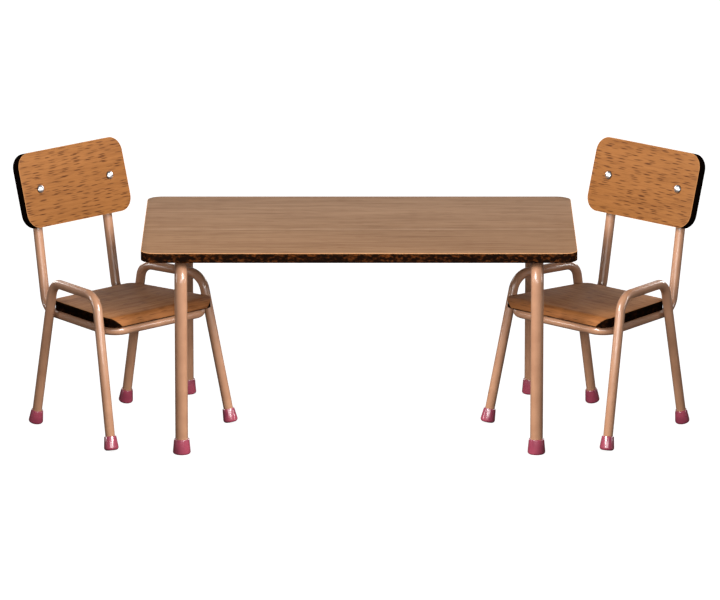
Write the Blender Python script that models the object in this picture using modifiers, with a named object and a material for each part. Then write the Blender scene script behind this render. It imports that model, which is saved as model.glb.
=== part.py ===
"""Miniature steel-rod table with two armchairs, in metres, +Z up.

The table stands on the origin with its length along X. Each chair is modelled in its own frame,
facing -Y, and an empty turns it and slides it half under one end of the table.
"""

from math import ceil, cos, pi, radians, sin, tan

import bpy
import bmesh
from mathutils import Matrix, Vector

# Fits
GAP = 0.00012  # air left between pieces that touch, are welded or are pressed together
ARC_STEP = radians(15)  # largest turn between two points of a bend or a rounded corner

# Table
TABLE_LENGTH = 0.170
TABLE_DEPTH = 0.102
TABLE_HEIGHT = 0.081
TABLE_BOARD = 0.0038
TABLE_CORNER = 0.006
TABLE_ROD = 0.005
TABLE_BEND = 0.0065
LEG_FROM_END = 0.0156  # leg centre to the end of the board
LEG_FROM_SIDE = 0.0028  # leg centre to the long side of the board
TAB_FROM_LEG = 0.020  # middle of a fixing tab to the nearer leg, along the cross bar

# Chair rods
CHAIR_ROD = 0.0038
FRONT_FOOT = (0.0321, -0.0269)  # where the leg axes meet the floor
REAR_FOOT = (0.0242, 0.0269)
FRONT_ARM_CORNER = (0.0282, -0.0144)
REAR_ARM_CORNER = (0.0238, 0.0157)
ARM_UNDER_TABLE = 0.001  # least air between an armrest and the table's cross bar above it
CROSS_BAR_UNDERSIDE = TABLE_HEIGHT - TABLE_BOARD - GAP - TABLE_ROD
ARM_HEIGHT = min(0.0594, CROSS_BAR_UNDERSIDE - ARM_UNDER_TABLE - CHAIR_ROD / 2)
ARM_BEND_FRONT = 0.0075
ARM_BEND_REAR = 0.006
FRONT_RAIL_Y = -0.0207
FRONT_RAIL_BEND = 0.006
POST_Y = 0.0255  # where the line of the posts meets the side rails
POST_BEND = 0.0065
POST_LEAN = radians(9)
POST_INWARD = 0.009  # how fast each post draws in towards the middle of the chair, going up
BACK_LEAN = radians(15.5)
BACK_BEND = 0.030
BACK_BEND_HEIGHT = 0.080
POST_TOP_MARGIN = 0.003  # from the end of a post to the top edge of the back board

# Chair boards
SEAT_TOP = 0.0516
SEAT_BOARD = 0.0038
SEAT_FRONT_Y = -0.0234
SEAT_REAR_Y = 0.0193
SEAT_BETWEEN_LEGS = 0.0002  # air from the seat's cut edge to each front leg
SEAT_TAPER = 0.1446  # how fast each side draws in towards the rear
SEAT_FRONT_CORNER = 0.0045
SEAT_REAR_CORNER = 0.0045
SEAT_ROLL = 0.0035  # radius of the rolled front edge
BACK_WIDTH = 0.055
BACK_HEIGHT = 0.030
BACK_BOARD = 0.0037
BACK_CORNER = 0.006
BACK_MIDDLE_HEIGHT = 0.0927

# Feet: (rod diameter is the bore) outer diameters, height and floor of the push-on cups
TABLE_FOOT = {"top": 0.0061, "bottom": 0.0070, "height": 0.0061, "floor": 0.0015, "edge": 0.0009}
CHAIR_FOOT = {"top": 0.0048, "bottom": 0.0058, "height": 0.0056, "floor": 0.0013, "edge": 0.0011}

# Fasteners and tabs
DOME_STEPS = 5  # points down the side of a domed head
BACK_SCREW = {"shank": 0.0020, "head": 0.0033, "rise": 0.0011}
NUT_ACROSS_CORNERS = 0.0042
NUT_THICK = 0.0016
SCREW_END = 0.0004  # shank standing out behind its nut
WOOD_SCREW = {"shank": 0.0014, "head": 0.0028, "rise": 0.0009}
SCREW_BITE = 0.0026  # length of a wood screw inside its board
TAB_THICK = 0.0008
TAB_REACH = 0.0055  # from the edge of the rod inwards
TAB_SHOULDER = 0.3  # where the tab starts on the rod, as a share of the rod's diameter from its axis
TAB_HOLE = 0.55  # where the screw goes through, as a share of the tab's reach
TAB_WIDTH = 0.0048
SEAT_TAB_Y = 0.001

# Places of the chairs
CHAIR_PAST_TABLE = 0.0077  # middle of a chair's footprint beyond the end of the table
CHAIR_Y = -0.003
CHAIR_TURN = radians(44.2)


def fresh_scene():
    for obj in list(bpy.data.objects):
        bpy.data.objects.remove(obj)
    parts = bpy.data.collections.new("kids_table_and_chairs")
    cutters = bpy.data.collections.new("cutters")
    for collection in (parts, cutters):
        bpy.context.scene.collection.children.link(collection)
    return parts, cutters


def principled(name, colour, roughness, metallic):
    made = bpy.data.materials.new(name)
    made.use_nodes = True
    shader = made.node_tree.nodes["Principled BSDF"]
    shader.inputs["Base Color"].default_value = (*colour, 1.0)
    shader.inputs["Roughness"].default_value = roughness
    shader.inputs["Metallic"].default_value = metallic
    return made


def add_object(name, data, material=None, parent=None, place=None):
    """Link an object to the parts, at a place given in its parent's frame."""
    obj = bpy.data.objects.new(name, data)
    PARTS.objects.link(obj)
    if material is not None:
        obj.data.materials.clear()
        obj.data.materials.append(material)
    obj.parent = parent
    obj.matrix_basis = place or Matrix()
    return obj


def rounded_path(corners, closed=False):
    """Points of straight runs joined by arcs; each corner is (point, bend radius)."""
    corners = [(Vector(point), radius) for point, radius in corners]
    if closed:
        corners = [corners[-1], *corners, corners[0]]
    points = [] if closed else [corners[0][0]]
    for (before, _), (corner, radius), (after, _) in zip(corners, corners[1:], corners[2:]):
        to_before = (before - corner).normalized()
        to_after = (after - corner).normalized()
        half = to_before.angle(to_after) / 2
        centre = corner + (to_before + to_after).normalized() * (radius / sin(half))
        start = corner + to_before * (radius / tan(half)) - centre
        turn = pi - 2 * half
        axis = to_after.cross(to_before)
        count = max(2, ceil(turn / ARC_STEP))
        for i in range(count + 1):
            points.append(centre + Matrix.Rotation(turn * i / count, 3, axis) @ start)
    if not closed:
        points.append(corners[-1][0])
    return points


def poly_curve(name, points, closed=False, flat=False):
    curve = bpy.data.curves.new(name, "CURVE")
    curve.dimensions = "2D" if flat else "3D"
    spline = curve.splines.new("POLY")
    spline.points.add(len(points) - 1)
    for slot, point in zip(spline.points, points):
        slot.co = (*point, 1.0)
    spline.use_cyclic_u = closed
    return curve


def rod(name, corners, diameter, material, parent=None):
    """A round rod bent along the corners."""
    curve = poly_curve(name, rounded_path(corners))
    curve.bevel_depth = diameter / 2
    curve.bevel_resolution = 4
    curve.use_fill_caps = True
    return add_object(name, curve, material, parent)


def as_mesh(obj):
    """Replace a curve object by its welded mesh, so that it can be cut."""
    bpy.context.view_layer.update()
    evaluated = obj.evaluated_get(bpy.context.evaluated_depsgraph_get())
    mesh = bpy.data.meshes.new_from_object(evaluated)
    work = bmesh.new()
    work.from_mesh(mesh)
    bmesh.ops.remove_doubles(work, verts=work.verts, dist=1e-6)
    bmesh.ops.recalc_face_normals(work, faces=work.faces)
    work.to_mesh(mesh)
    work.free()
    name, parent, place = obj.name, obj.parent, obj.matrix_basis.copy()
    material = obj.data.materials[0] if obj.data.materials else None
    bpy.data.objects.remove(obj)
    return add_object(name, mesh, material, parent, place)


def board(name, corners, thickness, material=None, parent=None, place=None):
    """A flat board with rounded corners, centred on its own XY plane; corners are (point, radius)."""
    outline = rounded_path([((*point, 0), radius) for point, radius in corners], closed=True)
    curve = poly_curve(name, outline, closed=True, flat=True)
    curve.fill_mode = "BOTH"
    curve.extrude = thickness / 2
    return as_mesh(add_object(name, curve, material, parent, place))


def rectangle(width, height, radius):
    return [((x * width / 2, y * height / 2), radius) for x, y in ((-1, -1), (1, -1), (1, 1), (-1, 1))]


def turned(name, profile, material, parent=None, place=None, steps=24):
    """A turned piece; the profile is (radius, height) from axis to axis, down its outer side."""
    mesh = bpy.data.meshes.new(name)
    edges = [(i, i + 1) for i in range(len(profile) - 1)]
    mesh.from_pydata([(radius, 0, height) for radius, height in profile], edges, [])
    obj = add_object(name, mesh, material, parent, place)
    spin = obj.modifiers.new("turn", "SCREW")
    spin.steps = spin.render_steps = steps
    spin.use_merge_vertices = True
    spin.merge_threshold = 1e-6
    return obj


def cylinder(name, radius, depth, parent=None, place=None, sides=16):
    """A cylinder along its own Z, centred on its place."""
    work = bmesh.new()
    bmesh.ops.create_cone(
        work, cap_ends=True, segments=sides, radius1=radius, radius2=radius, depth=depth
    )
    mesh = bpy.data.meshes.new(name)
    work.to_mesh(mesh)
    work.free()
    return add_object(name, mesh, None, parent, place)


def block(name, size, material, parent=None, place=None):
    work = bmesh.new()
    bmesh.ops.create_cube(work, size=1, matrix=Matrix.Diagonal((*size, 1)))
    mesh = bpy.data.meshes.new(name)
    work.to_mesh(mesh)
    work.free()
    return add_object(name, mesh, material, parent, place)


def cut(target, cutter, operation="DIFFERENCE"):
    """Cut the target by a hidden cutter."""
    PARTS.objects.unlink(cutter)
    CUTTERS.objects.link(cutter)
    cutter.hide_render = True
    cutter.display_type = "WIRE"
    boolean = target.modifiers.new(cutter.name, "BOOLEAN")
    boolean.object = cutter
    boolean.operation = operation


def drill(target, radius, depth, parent, place):
    """A round hole with a running gap around the shank that goes through it."""
    name = f"{target.name}_drill_{len(target.modifiers)}"
    cut(target, cylinder(name, radius + GAP, depth, parent, place))


def smooth_round_pieces():
    for obj in PARTS.objects:
        if obj.type == "MESH" and obj.modifiers:
            obj.data.shade_smooth()
            obj.data.set_sharp_from_angle(angle=radians(35))


def arc(centre, radius, start, end, count):
    """Points (r, z) of an arc in a turned profile, from one angle to another, in degrees."""
    points = []
    for i in range(count + 1):
        angle = radians(start + (end - start) * i / count)
        points.append((centre[0] + radius * cos(angle), centre[1] + radius * sin(angle)))
    return points


def screw_profile(size, length):
    """A domed head standing on Z = 0, with its shank below it."""
    head, rise = size["head"] / 2, size["rise"]
    sphere = (head**2 + rise**2) / (2 * rise)
    top = [(0, rise)]
    for i in range(1, DOME_STEPS + 1):
        radius = head * i / DOME_STEPS
        top.append((radius, rise - sphere + (sphere**2 - radius**2) ** 0.5))
    return [*top, (size["shank"] / 2, 0), (size["shank"] / 2, -length), (0, -length)]


def foot_cup(name, size, rod_diameter, end, up, parent=None):
    """A push-on vinyl cup, closed below, around the end of a leg."""
    bore = rod_diameter / 2 + GAP
    edge, height = size["edge"], size["height"]
    profile = [(0, size["floor"]), (bore, size["floor"]), (bore, height), (size["top"] / 2, height)]
    profile += arc((size["bottom"] / 2 - edge, edge), edge, 0, -90, 3)
    profile.append((0, 0))
    place = Matrix.Translation(end) @ up.to_track_quat("Z", "Y").to_matrix().to_4x4()
    return turned(name, profile, VINYL, parent, place)


def fixing_tab(name, at, inward, rod_diameter, under, parent=None):
    """A small plate welded on the shoulder of a rod, screwed up into the board above it."""
    up = Vector((0, 0, 1))
    turn = Matrix((inward, up.cross(inward), up)).transposed().to_4x4()
    shoulder = rod_diameter * TAB_SHOULDER
    length = rod_diameter / 2 + TAB_REACH - shoulder
    rod_frame = Matrix.Translation(at) @ turn
    middle = Vector((shoulder + length / 2, 0, under - GAP - TAB_THICK / 2 - at.z))
    tab_place = rod_frame @ Matrix.Translation(middle)
    tab = block(name, (length, TAB_WIDTH, TAB_THICK), PAINT, parent, tab_place)
    along_rod = rod_frame @ Matrix.Rotation(pi / 2, 4, "X")
    drill(tab, rod_diameter / 2, 2 * TAB_WIDTH, parent, along_rod)

    screw_x = rod_diameter / 2 + TAB_REACH * TAB_HOLE
    seat_z = under - 2 * GAP - TAB_THICK - at.z
    head_down = rod_frame @ Matrix.Translation((screw_x, 0, seat_z)) @ Matrix.Rotation(pi, 4, "X")
    length = 2 * GAP + TAB_THICK + SCREW_BITE
    profile = screw_profile(WOOD_SCREW, length)
    turned(name.replace("_tab_", "_screw_"), profile, STEEL, parent, head_down, steps=16)
    drill(tab, WOOD_SCREW["shank"] / 2, 4 * TAB_THICK, parent, head_down)
    return head_down


def screw_pilot(target, parent, head_down):
    """A blind pilot hole around a wood screw, from just under the board to a gap above the tip."""
    depth = SCREW_BITE + 2 * GAP
    middle = GAP + TAB_THICK + depth / 2
    drill(target, WOOD_SCREW["shank"] / 2, depth, parent, head_down @ Matrix.Translation((0, 0, -middle)))


def build_table():
    under = TABLE_HEIGHT - TABLE_BOARD
    top = board(
        "table_top", rectangle(TABLE_LENGTH, TABLE_DEPTH, TABLE_CORNER), TABLE_BOARD, BEECH,
        place=Matrix.Translation((0, 0, TABLE_HEIGHT - TABLE_BOARD / 2)),
    )
    leg_y = TABLE_DEPTH / 2 - LEG_FROM_SIDE
    bar_z = under - GAP - TABLE_ROD / 2
    rod_end = TABLE_FOOT["floor"] + GAP
    frame_x = TABLE_LENGTH / 2 - LEG_FROM_END
    for side, x in (("left", -frame_x), ("right", frame_x)):
        corners = [
            ((x, -leg_y, rod_end), 0),
            ((x, -leg_y, bar_z), TABLE_BEND),
            ((x, leg_y, bar_z), TABLE_BEND),
            ((x, leg_y, rod_end), 0),
        ]
        rod(f"table_frame_{side}", corners, TABLE_ROD, PAINT)
        inward = Vector((-1 if x > 0 else 1, 0, 0))
        for end, y in (("front", -1), ("rear", 1)):
            at = Vector((x, y * (leg_y - TAB_FROM_LEG), bar_z))
            head_down = fixing_tab(f"table_tab_{side}_{end}", at, inward, TABLE_ROD, under)
            screw_pilot(top, None, head_down)
            foot = Vector((x, y * leg_y, 0))
            foot_cup(f"table_foot_{side}_{end}", TABLE_FOOT, TABLE_ROD, foot, Vector((0, 0, 1)))


def leg_at(foot, arm_corner, height):
    """The point of a leg's axis at a height, for the leg on the +X side."""
    share = height / ARM_HEIGHT
    return Vector((*foot, 0)).lerp(Vector((*arm_corner, ARM_HEIGHT)), share)


def rail_height():
    return SEAT_TOP - SEAT_BOARD - GAP - CHAIR_ROD / 2


def rail_slope():
    """How fast the side rails draw together towards the rear, to follow the legs beside them."""
    front = leg_at(FRONT_FOOT, FRONT_ARM_CORNER, rail_height())
    rear = leg_at(REAR_FOOT, REAR_ARM_CORNER, rail_height())
    return (rear.x - front.x) / (rear.y - front.y)


def rail_x(y):
    """Half the distance between the side rails, which lie just inside the legs."""
    weld_step = CHAIR_ROD + 1.5 * GAP
    front = leg_at(FRONT_FOOT, FRONT_ARM_CORNER, rail_height())
    return front.x - weld_step + rail_slope() * (y - front.y)


def post_point(height):
    """The post's axis at a height: up to the bend behind the board, then leaning with the board."""
    x = rail_x(POST_Y) - POST_INWARD * (height - rail_height())
    bend_y = POST_Y + (BACK_BEND_HEIGHT - rail_height()) * tan(POST_LEAN)
    lean = POST_LEAN if height < BACK_BEND_HEIGHT else BACK_LEAN
    return Vector((x, bend_y + (height - BACK_BEND_HEIGHT) * tan(lean), height))


def build_seat_frame(name, chair):
    """One rod: post, side rail, front rail, side rail, post."""
    top_height = BACK_MIDDLE_HEIGHT + (BACK_HEIGHT / 2 - POST_TOP_MARGIN) * cos(BACK_LEAN)
    half = [
        (post_point(top_height), 0),
        (post_point(BACK_BEND_HEIGHT), BACK_BEND),
        (Vector((rail_x(POST_Y), POST_Y, rail_height())), POST_BEND),
        (Vector((rail_x(FRONT_RAIL_Y), FRONT_RAIL_Y, rail_height())), FRONT_RAIL_BEND),
    ]
    mirrored = [(Vector((-point.x, point.y, point.z)), radius) for point, radius in half]
    return as_mesh(rod(name, mirrored + half[::-1], CHAIR_ROD, PAINT, chair))


def build_side_loop(prefix, side, sign, chair):
    """Rear leg, armrest and front leg, bent from one rod, with a foot on each end."""
    ends = {}
    legs = (("front", FRONT_FOOT, FRONT_ARM_CORNER), ("rear", REAR_FOOT, REAR_ARM_CORNER))
    for end, foot, arm_corner in legs:
        on_floor = Vector((sign * foot[0], foot[1], 0))
        corner = Vector((sign * arm_corner[0], arm_corner[1], ARM_HEIGHT))
        up = (corner - on_floor).normalized()
        splay = up.angle(Vector((0, 0, 1)))
        edge = CHAIR_FOOT["edge"]
        lift = (CHAIR_FOOT["bottom"] / 2 - edge) * sin(splay) + edge * (1 - cos(splay))
        sole = on_floor + up * (lift / up.z)
        foot_cup(f"{prefix}_foot_{side}_{end}", CHAIR_FOOT, CHAIR_ROD, sole, up, chair)
        ends[end] = (sole + up * (CHAIR_FOOT["floor"] + GAP), corner)
    corners = [
        (ends["rear"][0], 0),
        (ends["rear"][1], ARM_BEND_REAR),
        (ends["front"][1], ARM_BEND_FRONT),
        (ends["front"][0], 0),
    ]
    rod(f"{prefix}_side_loop_{side}", corners, CHAIR_ROD, PAINT, chair)


def seat_half_width(y):
    """Half the seat's width, which just clears the front legs."""
    leg = leg_at(FRONT_FOOT, FRONT_ARM_CORNER, SEAT_TOP)
    return leg.x - CHAIR_ROD / 2 - SEAT_BETWEEN_LEGS - SEAT_TAPER * (y - leg.y)


def build_seat(prefix, chair):
    """A moulded board: a plan outline cut from a blank whose front edge is rolled over."""
    front, rear = seat_half_width(SEAT_FRONT_Y), seat_half_width(SEAT_REAR_Y)
    plan = [((-front, SEAT_FRONT_Y), SEAT_FRONT_CORNER), ((front, SEAT_FRONT_Y), SEAT_FRONT_CORNER)]
    plan += [((rear, SEAT_REAR_Y), SEAT_REAR_CORNER), ((-rear, SEAT_REAR_Y), SEAT_REAR_CORNER)]
    middle = SEAT_TOP - SEAT_BOARD / 2
    seat = board(f"{prefix}_seat", plan, 2 * SEAT_BOARD, BEECH, chair, Matrix.Translation((0, 0, middle)))

    # The blank's side view is drawn with Y across and Z up, then stood along the chair's X.
    low, high = SEAT_TOP - SEAT_BOARD, SEAT_TOP
    past_rear = SEAT_REAR_Y + SEAT_BOARD
    fine = GAP
    side_view = [((SEAT_FRONT_Y, low), fine), ((past_rear, low), fine)]
    side_view += [((past_rear, high), fine), ((SEAT_FRONT_Y, high), SEAT_ROLL)]
    across = Matrix(((0, 0, 1, 0), (1, 0, 0, 0), (0, 1, 0, 0), (0, 0, 0, 1)))
    blank = board(f"{prefix}_seat_blank", side_view, 4 * front, None, chair, across)
    cut(seat, blank, "INTERSECT")
    return seat


def build_back(prefix, chair, seat_frame):
    """The back board on the fronts of the posts, with a domed screw and a nut through each post."""
    middle = post_point(BACK_MIDDLE_HEIGHT)
    upright = Matrix.Translation((0, middle.y, middle.z)) @ Matrix.Rotation(-BACK_LEAN, 4, "X")
    rod_face = CHAIR_ROD / 2 + GAP
    lay = upright @ Matrix.Translation((0, -rod_face - BACK_BOARD / 2, 0)) @ Matrix.Rotation(pi / 2, 4, "X")
    outline = rectangle(BACK_WIDTH, BACK_HEIGHT, BACK_CORNER)
    back = board(f"{prefix}_back", outline, BACK_BOARD, BEECH, chair, lay)
    for side, sign in (("left", -1), ("right", 1)):
        through = upright @ Matrix.Translation((sign * middle.x, 0, 0)) @ Matrix.Rotation(pi / 2, 4, "X")
        under_head = rod_face + BACK_BOARD + GAP
        length = under_head + rod_face + NUT_THICK + SCREW_END
        head_place = through @ Matrix.Translation((0, 0, under_head))
        turned(f"{prefix}_back_screw_{side}", screw_profile(BACK_SCREW, length), CHROME, chair, head_place)
        nut_middle = through @ Matrix.Translation((0, 0, -rod_face - NUT_THICK / 2))
        nut = cylinder(
            f"{prefix}_back_nut_{side}", NUT_ACROSS_CORNERS / 2, NUT_THICK, chair, nut_middle, sides=6
        )
        nut.data.materials.append(CHROME)
        for target in (back, seat_frame, nut):
            drill(target, BACK_SCREW["shank"] / 2, 2 * length, chair, through)


def build_chair(prefix, x, turn):
    chair = bpy.data.objects.new(f"{prefix}_place", None)
    PARTS.objects.link(chair)
    chair.location = (x, CHAIR_Y, 0)
    chair.rotation_euler = (0, 0, turn)
    bpy.context.view_layer.update()

    seat_frame = build_seat_frame(f"{prefix}_seat_frame", chair)
    seat = build_seat(prefix, chair)
    build_back(prefix, chair, seat_frame)
    for side, sign in (("left", -1), ("right", 1)):
        build_side_loop(prefix, side, sign, chair)
        at = Vector((sign * rail_x(SEAT_TAB_Y), SEAT_TAB_Y, rail_height()))
        inward = Vector((-sign, rail_slope(), 0)).normalized()
        under = SEAT_TOP - SEAT_BOARD
        head_down = fixing_tab(f"{prefix}_seat_tab_{side}", at, inward, CHAIR_ROD, under, chair)
        screw_pilot(seat, chair, head_down)


PARTS, CUTTERS = fresh_scene()
BEECH = principled("beech_veneer", (0.42, 0.17, 0.06), 0.5, 0.0)
PAINT = principled("copper_paint", (0.51, 0.27, 0.16), 0.35, 0.0)
VINYL = principled("raspberry_vinyl", (0.36, 0.04, 0.08), 0.4, 0.0)
CHROME = principled("chrome", (0.8, 0.8, 0.8), 0.1, 1.0)
STEEL = principled("zinc_steel", (0.6, 0.6, 0.6), 0.35, 1.0)

CHAIR_X = TABLE_LENGTH / 2 + CHAIR_PAST_TABLE
build_table()
build_chair("left_chair", -CHAIR_X, CHAIR_TURN)
build_chair("right_chair", CHAIR_X, -CHAIR_TURN)
smooth_round_pieces()
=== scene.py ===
"""Doll-size table on bent rod end frames, with two rod armchairs. Metres, Z up."""

from math import asin, ceil, cos, pi, radians, sin, tan

import bmesh
import bpy
from mathutils import Matrix, Vector


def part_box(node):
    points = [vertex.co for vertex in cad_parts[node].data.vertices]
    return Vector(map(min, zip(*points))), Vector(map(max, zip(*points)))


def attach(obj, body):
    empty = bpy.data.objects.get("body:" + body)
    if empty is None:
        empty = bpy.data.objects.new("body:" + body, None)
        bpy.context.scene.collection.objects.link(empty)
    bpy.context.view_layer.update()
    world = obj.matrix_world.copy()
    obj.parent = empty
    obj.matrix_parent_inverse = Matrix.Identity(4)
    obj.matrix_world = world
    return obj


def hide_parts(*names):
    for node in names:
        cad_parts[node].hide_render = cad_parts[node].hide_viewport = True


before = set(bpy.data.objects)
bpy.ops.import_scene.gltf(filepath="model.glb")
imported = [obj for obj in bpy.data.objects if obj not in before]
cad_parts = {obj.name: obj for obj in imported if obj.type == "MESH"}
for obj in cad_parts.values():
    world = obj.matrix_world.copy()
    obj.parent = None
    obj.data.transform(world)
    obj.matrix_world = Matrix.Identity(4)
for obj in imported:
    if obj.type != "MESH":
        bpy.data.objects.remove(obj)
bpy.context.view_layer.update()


# ---- Table end frames
# Each end of the table stands on one 5 mm steel rod, bent cold to an upside-down U: front leg, cross bar and
# rear leg. It is sprayed with a glossy dusty copper paint, baked on.

ROD_SIDES = 40
BEND_STEP, FEWEST_BEND_STEPS = radians(7.5), 4
END_BREAK = 0.0002  # the broken edge on a sawn rod end
SMOOTH_UNDER = radians(38)
SQUARE_TO = 0.9995  # a board's face counts as flat when its normal is this close to square
MERGE_WITHIN = 1e-6
TABLE_ROD = 0.005
TABLE_BEND = 0.0065
LEG_FROM_END = 0.0156
LEG_FROM_SIDE = 0.0028
TABLE_FOOT_FLOOR = 0.0015
FIT = 0.00012  # air between pieces that touch


def node(tree, kind, inputs=None, **settings):
    """Add a shader node. Inputs are values, or the sockets that feed them."""
    made = tree.nodes.new("ShaderNode" + kind)
    for name, value in settings.items():
        setattr(made, name, value)
    for name, value in (inputs or {}).items():
        if isinstance(value, bpy.types.NodeSocket):
            tree.links.new(value, made.inputs[name])
        else:
            made.inputs[name].default_value = value
    return made


def maths(tree, operation, *values):
    return node(tree, "Math", dict(enumerate(values)), operation=operation).outputs[0]


def blend_colour(tree, share, first, second, kind="MIX"):
    """Mix two colours: sockets 6 and 7 of a Mix node are its colours, and output 2 is theirs."""
    mixed = node(tree, "Mix", {0: share, 6: first, 7: second}, data_type="RGBA", blend_type=kind)
    return mixed.outputs[2]


def soft_step(tree, value, low, high):
    """0 under low, 1 over high, and smooth between."""
    ranged = node(tree, "MapRange", {0: value, 1: low, 2: high}, interpolation_type="SMOOTHSTEP")
    return ranged.outputs[0]


def new_group(name, inputs, outputs):
    """A shader group with named sockets; each is (name, kind, default)."""
    tree = bpy.data.node_groups.new(name, "ShaderNodeTree")
    for in_out, sockets in (("INPUT", inputs), ("OUTPUT", outputs)):
        for socket_name, kind, default in sockets:
            made = tree.interface.new_socket(socket_name, in_out=in_out, socket_type="NodeSocket" + kind)
            if default is not None:
                made.default_value = default
    return tree, tree.nodes.new("NodeGroupInput").outputs, tree.nodes.new("NodeGroupOutput").inputs


def use_group(tree, group, inputs):
    return node(tree, "Group", inputs, node_tree=group).outputs


def new_finish(name, **settings):
    """A material with a Principled shader; settings are its sockets, with _ for each space."""
    made = bpy.data.materials.new(name)
    made.use_nodes = True
    shader = made.node_tree.nodes["Principled BSDF"]
    for socket_name, value in settings.items():
        shader.inputs[socket_name.replace("_", " ")].default_value = value
    return made, made.node_tree, shader


def wire_finish(tree, shader, bump=None, bump_depth=0.0, **sockets):
    """Feed the shader's sockets, and its Normal from a height if there is one."""
    for socket_name, socket in sockets.items():
        tree.links.new(socket, shader.inputs[socket_name.replace("_", " ")])
    if bump is not None:
        raised = node(tree, "Bump", {"Height": bump, "Distance": bump_depth, "Strength": 1.0})
        tree.links.new(raised.outputs[0], shader.inputs["Normal"])


def sprayed_coat_group():
    """Uneven thickness of a sprayed or moulded skin: slow clouding, fine orange peel and specks of dust."""
    tree, given, out = new_group(
        "sprayed_coat",
        [("Place", "Vector", None), ("Colour", "Color", (0.5, 0.5, 0.5, 1)),
         ("Thin Colour", "Color", (0.4, 0.4, 0.4, 1)), ("Roughness", "Float", 0.4),
         ("Peel Size", "Float", 0.0006)],
        [("Colour", "Color", None), ("Roughness", "Float", None), ("Height", "Float", None)],
    )
    clouds = node(tree, "TexNoise", {"Vector": given["Place"], "Scale": 160.0, "Detail": 3.0}).outputs[0]
    peel_scale = maths(tree, "DIVIDE", 1.0, given["Peel Size"])
    peel = node(tree, "TexNoise", {"Vector": given["Place"], "Scale": peel_scale, "Detail": 1.0}).outputs[0]
    specks = node(tree, "TexNoise", {"Vector": given["Place"], "Scale": 2600.0, "Detail": 2.0}).outputs[0]
    thin = soft_step(tree, clouds, 0.35, 0.7)
    speckled = maths(tree, "ADD", thin, soft_step(tree, specks, 0.62, 0.74))
    tree.links.new(blend_colour(tree, speckled, given["Colour"], given["Thin Colour"]), out["Colour"])
    uneven = maths(tree, "MULTIPLY_ADD", clouds, 0.16, given["Roughness"])
    tree.links.new(maths(tree, "SUBTRACT", uneven, 0.08), out["Roughness"])
    tree.links.new(maths(tree, "ADD", peel, maths(tree, "MULTIPLY", specks, 0.25)), out["Height"])
    return tree


def own_coordinates(tree):
    return node(tree, "TexCoord").outputs["Object"]


SPRAYED_COAT = sprayed_coat_group()


def sprayed_finish(name, colour, thin_colour, roughness, peel_size, peel_depth, **settings):
    made, tree, shader = new_finish(name, **settings)
    skin = use_group(tree, SPRAYED_COAT, {
        "Place": own_coordinates(tree), "Colour": colour, "Thin Colour": thin_colour,
        "Roughness": roughness, "Peel Size": peel_size,
    })
    wire_finish(
        tree, shader, skin["Height"], peel_depth, Base_Color=skin["Colour"], Roughness=skin["Roughness"]
    )
    return made


COPPER_PAINT = sprayed_finish(
    "dusty_copper_paint", colour=(0.375, 0.193, 0.111, 1), thin_colour=(0.33, 0.164, 0.092, 1),
    roughness=0.33, peel_size=0.0009, peel_depth=0.000008, Coat_Weight=0.6, Coat_Roughness=0.1, Coat_IOR=1.5,
)


def only(kind, geometry):
    return [item for item in geometry if isinstance(item, kind)]


def bent_rod(corners, diameter):
    """A round rod along corners, each a point and its bend radius.

    Its open end is drawn out along each straight, and spun round each bend.
    """
    work = bmesh.new()
    at = Vector(corners[0][0])
    heading = (Vector(corners[1][0]) - at).normalized()
    place = Matrix.Translation(at) @ heading.to_track_quat("Z", "Y").to_matrix().to_4x4()
    bmesh.ops.create_circle(work, cap_ends=True, radius=diameter / 2, segments=ROD_SIDES, matrix=place)
    ring = work.edges[:]
    sawn_ends = ring[:]
    for i, (corner, radius) in enumerate(corners[1:], start=1):
        corner = Vector(corner)
        last = i == len(corners) - 1
        onward = heading if last else (Vector(corners[i + 1][0]) - corner).normalized()
        turn = heading.angle(onward)
        tangent = radius * tan(turn / 2)
        drawn = bmesh.ops.extrude_edge_only(work, edges=ring)["geom"]
        ends = only(bmesh.types.BMVert, drawn)
        bmesh.ops.translate(work, verts=ends, vec=corner - heading * tangent - at)
        ring = [edge for edge in only(bmesh.types.BMEdge, drawn) if all(vert in ends for vert in edge.verts)]
        if radius and not last:
            axis = heading.cross(onward).normalized()
            centre = corner - heading * tangent + axis.cross(heading) * radius
            steps = max(FEWEST_BEND_STEPS, ceil(turn / BEND_STEP))
            spun = bmesh.ops.spin(work, geom=ends + ring, cent=centre, axis=axis, angle=turn, steps=steps)
            ring = only(bmesh.types.BMEdge, spun["geom_last"])
        at, heading = corner + onward * tangent, onward
    bmesh.ops.edgeloop_fill(work, edges=ring)
    sawn_ends += ring
    bmesh.ops.bevel(
        work, geom=sawn_ends, offset=END_BREAK, segments=2, profile=0.5, affect="EDGES", material=-1
    )
    return work


def finish_piece(work, cad_node, body, finishes, place=None, shift=(0, 0, 0), flat_along=None):
    """Make the shown piece that stands for a CAD node, with its place before assembly kept as own_place.

    Faces square to flat_along are the flat faces of a board, and keep one even normal.
    """
    bmesh.ops.remove_doubles(work, verts=work.verts, dist=MERGE_WITHIN)
    bmesh.ops.recalc_face_normals(work, faces=work.faces)
    own_place = work.verts.layers.float_vector.new("own_place")
    for vert in work.verts:
        vert[own_place] = vert.co + Vector(shift)
    for face in work.faces:
        face.smooth = flat_along is None or abs(face.normal.dot(flat_along)) < SQUARE_TO
    bmesh.ops.transform(work, matrix=place or Matrix(), verts=work.verts)
    mesh = bpy.data.meshes.new(cad_node + "_finished")
    work.to_mesh(mesh)
    work.free()
    for finish in finishes:
        mesh.materials.append(finish)
    mesh.set_sharp_from_angle(angle=SMOOTH_UNDER)
    piece = bpy.data.objects.new(mesh.name, mesh)
    bpy.context.scene.collection.objects.link(piece)
    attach(piece, body)
    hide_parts(cad_node)
    return piece


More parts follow.
